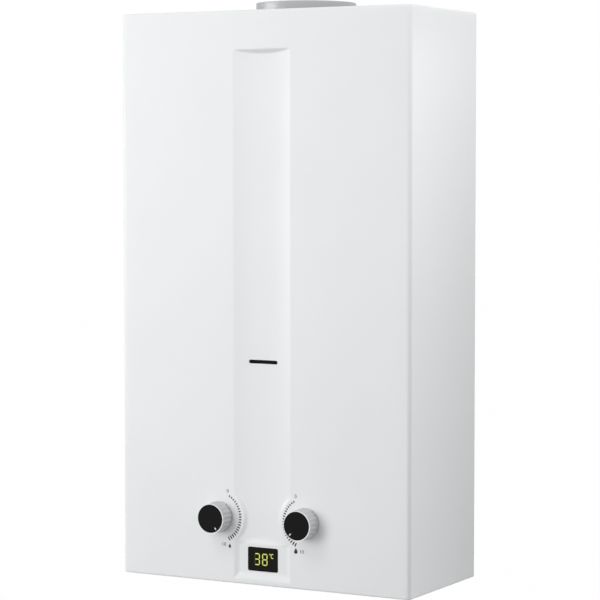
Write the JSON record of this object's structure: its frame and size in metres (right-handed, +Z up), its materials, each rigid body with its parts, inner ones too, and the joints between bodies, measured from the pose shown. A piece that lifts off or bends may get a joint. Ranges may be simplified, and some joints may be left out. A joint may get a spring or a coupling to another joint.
{
  "type": "tankless gas water heater",
  "caption": "Wall-hung gas water heater: white steel casing with a concave front channel, fluted control knobs, a small display, a round flue collar and pipe stubs below.",
  "frame": {"origin": "midpoint of the two hanging slots, on the wall plane at the rear of the back plate", "axes": "+X to the viewer's right, +Y into the wall so the front faces -Y, +Z up"},
  "size_m": [0.35, 0.1775, 0.6355],
  "materials": {
    "white_powder_coat": "white powder coat, semi-gloss, fine orange peel",
    "galvanised_sheet": "galvanised steel sheet with a soft spangle",
    "collar_metal": "drawn aluminised sheet, satin",
    "stainless_sheet": "stainless sheet, lightly heat tinted",
    "copper": "copper, dull, slightly oxidised",
    "brass": "machined and cast brass",
    "zinc_steel": "zinc-plated steel",
    "cast_aluminium": "die-cast aluminium, shot-blasted",
    "knob_silver": "moulded plastic with satin silver plating",
    "black_plastic": "black moulded plastic, satin",
    "grey_plastic": "dark grey moulded plastic",
    "white_plastic": "white moulded plastic",
    "display_black": "black acrylic window",
    "circuit_board": "green circuit board",
    "mica": "thin clear mica",
    "ceramic": "glazed electrical ceramic",
    "rubber": "moulded black rubber",
    "cable_red": "silicone-insulated high-voltage lead",
    "cable_grey": "plastic-insulated wire",
    "cell_jacket": "plain printed steel cell jacket"
  },
  "bodies": {
    "casing": {"front_cover": "white_powder_coat", "back_plate": "galvanised_sheet", "bottom_plate": "galvanised_sheet", "draught_hood": "galvanised_sheet", "exchanger_brackets": "galvanised_sheet", "valve_brackets": "galvanised_sheet", "flue_collar": "collar_metal", "burner_frame": "stainless_sheet", "burner_bars": "stainless_sheet", "gas_manifold": "stainless_sheet", "exchanger_shell": "copper", "exchanger_fins": "copper", "exchanger_tubes": "copper", "cold_pipe": "copper", "hot_pipe": "copper", "spindle_glands": "brass", "union_nuts": "brass", "injectors": "brass", "water_valve_body": "brass", "diaphragm_cover": "brass", "drain_plug": "brass", "gas_nipple": "brass", "cold_nipple": "brass", "hot_nipple": "brass", "temperature_sensor": "brass", "cover_screws": "zinc_steel", "gas_pipe": "zinc_steel", "valve_screws": "zinc_steel", "switch_bracket": "zinc_steel", "hinge_pin": "zinc_steel", "battery_contacts": "zinc_steel", "draught_sensor": "zinc_steel", "overheat_cutout": "zinc_steel", "gas_valve_body": "cast_aluminium", "gas_solenoid": "black_plastic", "microswitch": "black_plastic", "display_housing": "grey_plastic", "control_box": "grey_plastic", "control_box_lid": "grey_plastic", "battery_box": "white_plastic", "display_lens": "display_black", "display_board": "circuit_board", "viewing_window": "mica", "ignition_electrode": "ceramic", "flame_sensor": "ceramic", "diaphragm": "rubber", "ignition_lead": "cable_red", "sensor_lead": "cable_grey", "wiring": "cable_grey", "batteries": "cell_jacket"},
    "gas_control": {"gas_knob": "knob_silver", "gas_knob_cap": "black_plastic", "gas_spindle": "brass"},
    "water_control": {"water_knob": "knob_silver", "water_knob_cap": "black_plastic", "water_spindle": "brass"},
    "battery_door": {"battery_lid": "white_plastic"},
    "valve_rod": {"push_rod": "zinc_steel"},
    "switch_arm": {"switch_lever": "zinc_steel"}
  },
  "joints": [
    {"name": "gas_knob_turn", "type": "hinge", "parent": "casing", "child": "gas_control", "pos_m": [-0.0525, -0.159, -0.4845], "axis": [0, -1, 0], "range_deg": [-4, 119]},
    {"name": "water_knob_turn", "type": "hinge", "parent": "casing", "child": "water_control", "pos_m": [0.0525, -0.159, -0.4845], "axis": [0, -1, 0], "range_deg": [-109, 13]},
    {"name": "battery_lid_hinge", "type": "hinge", "parent": "casing", "child": "battery_door", "pos_m": [-0.12275, -0.1008, -0.55415], "axis": [1, 0, 0], "range_deg": [0, 100]},
    {"name": "push_rod_slide", "type": "slide", "parent": "casing", "child": "valve_rod", "axis": [-1, 0, 0], "range_m": [0, 0.004], "stiffness_N_per_m": 400},
    {"name": "switch_lever_turn", "type": "hinge", "parent": "casing", "child": "switch_arm", "pos_m": [-0.0033, -0.07, -0.4535], "axis": [0, 1, 0], "range_deg": [0, 9.2]}
  ],
  "couplings": [
    {"joint": "switch_lever_turn", "follows": "push_rod_slide", "rad_per_m": 40}
  ]
}
